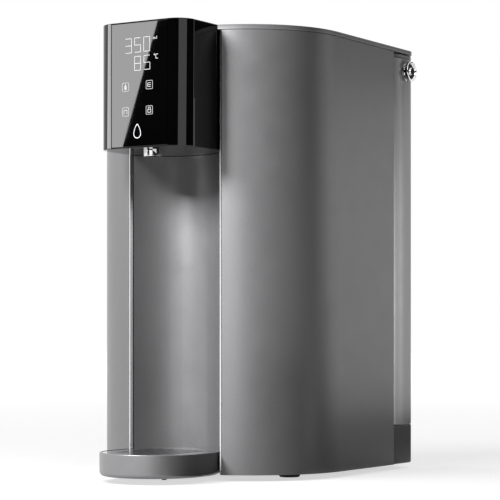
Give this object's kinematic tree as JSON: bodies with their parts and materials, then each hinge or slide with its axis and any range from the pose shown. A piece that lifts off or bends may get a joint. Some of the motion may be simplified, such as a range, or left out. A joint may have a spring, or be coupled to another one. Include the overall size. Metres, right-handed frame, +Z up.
{
  "type": "countertop water purifier",
  "caption": "Upright countertop water purifier with a rounded front, a cup bay under an overhanging tap head, a pull-out drip tray and a slide-out rear tank.",
  "frame": {"origin": "on the surface that the purifier stands on, at the centre of its plan box", "axes": "+Z up; -Y is the front with the tap head and cup bay, +Y the rear with the tank; +X is to the right of someone facing it"},
  "size_m": [0.2452, 0.321, 0.4],
  "materials": {
    "graphite_shell": "satin metallic graphite paint",
    "bright_edge": "polished edge strip",
    "black_gloss": "high gloss black",
    "chrome": "polished",
    "dark_plastic": "fine matt",
    "white_plastic": "moulded satin",
    "rubber": "matt",
    "steel": "plated sheet",
    "aluminium": "plain",
    "board_green": "solder mask",
    "hose_white": "translucent polyethylene hose"
  },
  "bodies": {
    "housing": {"base_plate": "dark_plastic", "bay_back_wall": "graphite_shell", "bulkhead": "dark_plastic", "divider": "dark_plastic", "service_shelf": "dark_plastic", "top_deck": "dark_plastic", "dock_socket_drain": "white_plastic", "dock_socket_raw": "white_plastic", "edge_trim_left": "bright_edge", "edge_trim_right": "bright_edge", "filter_cup": "white_plastic", "foot_front_left": "rubber", "foot_front_right": "rubber", "foot_rear_left": "rubber", "foot_rear_right": "rubber", "head_housing": "black_gloss", "touch_glass": "black_gloss", "spout_collar": "chrome", "spout_nozzle": "dark_plastic", "power_inlet": "dark_plastic", "rear_pedestal": "graphite_shell", "side_panel_left": "graphite_shell", "side_panel_right": "graphite_shell", "hose_socket_to_inlet_valve": "hose_white", "hose_inlet_valve_to_pump": "hose_white", "hose_pump_to_filter": "hose_white", "hose_filter_to_pure_tank": "hose_white", "hose_pure_tank_to_heater": "hose_white", "hose_heater_to_spout": "hose_white", "hose_waste_valve_to_socket": "hose_white", "display_board": "board_green", "control_board": "board_green", "power_supply": "aluminium", "heater": "aluminium", "pure_water_tank": "white_plastic", "pump_mount": "steel", "pump_pad": "rubber", "pump_head": "dark_plastic", "pump_motor": "steel", "inlet_valve": "white_plastic", "waste_valve": "white_plastic", "flow_sensor": "dark_plastic"},
    "filter": {"filter_cartridge": "white_plastic"},
    "lid": {"top_lid": "graphite_shell", "lid_rail_left": "graphite_shell", "lid_rail_right": "graphite_shell"},
    "tray": {"drip_tray": "graphite_shell", "tray_foot": "rubber"},
    "plate": {"drip_plate": "steel"},
    "tank": {"water_tank": "graphite_shell", "tank_cover": "graphite_shell", "tank_port_drain": "white_plastic", "tank_port_raw": "white_plastic", "float_guide": "white_plastic"},
    "handle": {"handle_bail": "dark_plastic", "pivot_cap_left": "chrome", "pivot_cap_right": "chrome"},
    "float": {"level_float": "white_plastic"}
  },
  "joints": [
    {"name": "tank_slide", "type": "slide", "parent": "housing", "child": "tank", "axis": [0, 1, 0], "range_m": [0, 0.16]},
    {"name": "handle_swing", "type": "hinge", "parent": "tank", "child": "handle", "pos_m": [0, 0.1421, 0.379], "axis": [1, 0, 0], "range_deg": [0, 100]},
    {"name": "float_rise", "type": "slide", "parent": "tank", "child": "float", "axis": [0, 0, 1], "range_m": [0, 0.024]},
    {"name": "tray_slide", "type": "slide", "parent": "housing", "child": "tray", "axis": [0, -1, 0], "range_m": [0, 0.09]},
    {"name": "plate_lift", "type": "slide", "parent": "tray", "child": "plate", "axis": [0, 0, 1], "range_m": [0, 0.03]},
    {"name": "lid_lift", "type": "slide", "parent": "housing", "child": "lid", "axis": [0, 0, 1], "range_m": [0, 0.06]},
    {"name": "filter_turn", "type": "hinge", "parent": "housing", "child": "filter", "pos_m": [-0.058, 0.042, 0.2], "axis": [0, 0, 1], "range_deg": [0, 60]}
  ]
}
